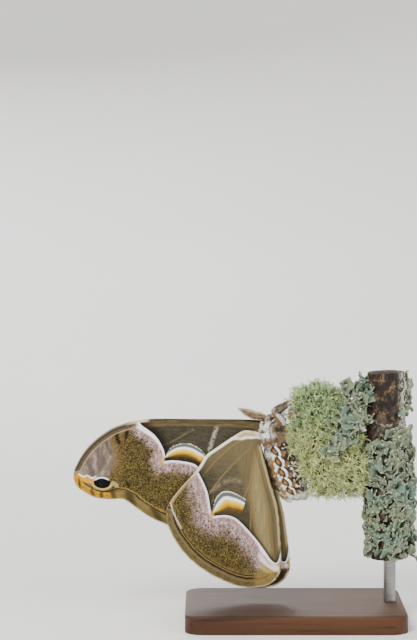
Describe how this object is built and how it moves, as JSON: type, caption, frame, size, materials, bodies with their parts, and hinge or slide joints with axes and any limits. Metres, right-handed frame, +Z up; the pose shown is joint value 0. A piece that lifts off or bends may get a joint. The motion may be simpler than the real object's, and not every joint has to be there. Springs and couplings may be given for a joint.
{
  "type": "samia silk moth on perch",
  "caption": "Life-size silk moth resting with its wings closed over its back, on a short lichened branch held by a plain stand.",
  "frame": {"origin": "middle of the base's flat underside", "axes": "+Z up; the moth hangs head up with its right side facing -Y, its back and wings towards -X and its legs towards +X"},
  "size_m": [0.1142, 0.052, 0.0825],
  "materials": {
    "wing_scales": "matt scales with a pink, white and ochre pattern",
    "body_fur": "short soft fur, white and ochre",
    "leg_fur": "short ochre and brown fur",
    "antenna": "fine brown combs",
    "eye": "dark and glossy",
    "bark": "rough dark bark",
    "lichen": "matt, dry and branching",
    "stand_wood": "dark satin varnish",
    "stand_metal": "satin"
  },
  "bodies": {
    "root": {"head": "body_fur", "thorax": "body_fur", "abdomen": "body_fur", "eye_right": "eye", "eye_left": "eye", "antenna_right": "antenna", "antenna_left": "antenna", "foreleg_right": "leg_fur", "foreleg_left": "leg_fur", "midleg_right": "leg_fur", "midleg_left": "leg_fur", "hindleg_right": "leg_fur", "hindleg_left": "leg_fur", "forewing_right": "wing_scales", "forewing_left": "wing_scales", "hindwing_right": "wing_scales", "hindwing_left": "wing_scales", "perch_branch": "bark", "perch_lichen": "lichen", "stand_base": "stand_wood", "stand_rod": "stand_metal"}
  },
  "joints": []
}
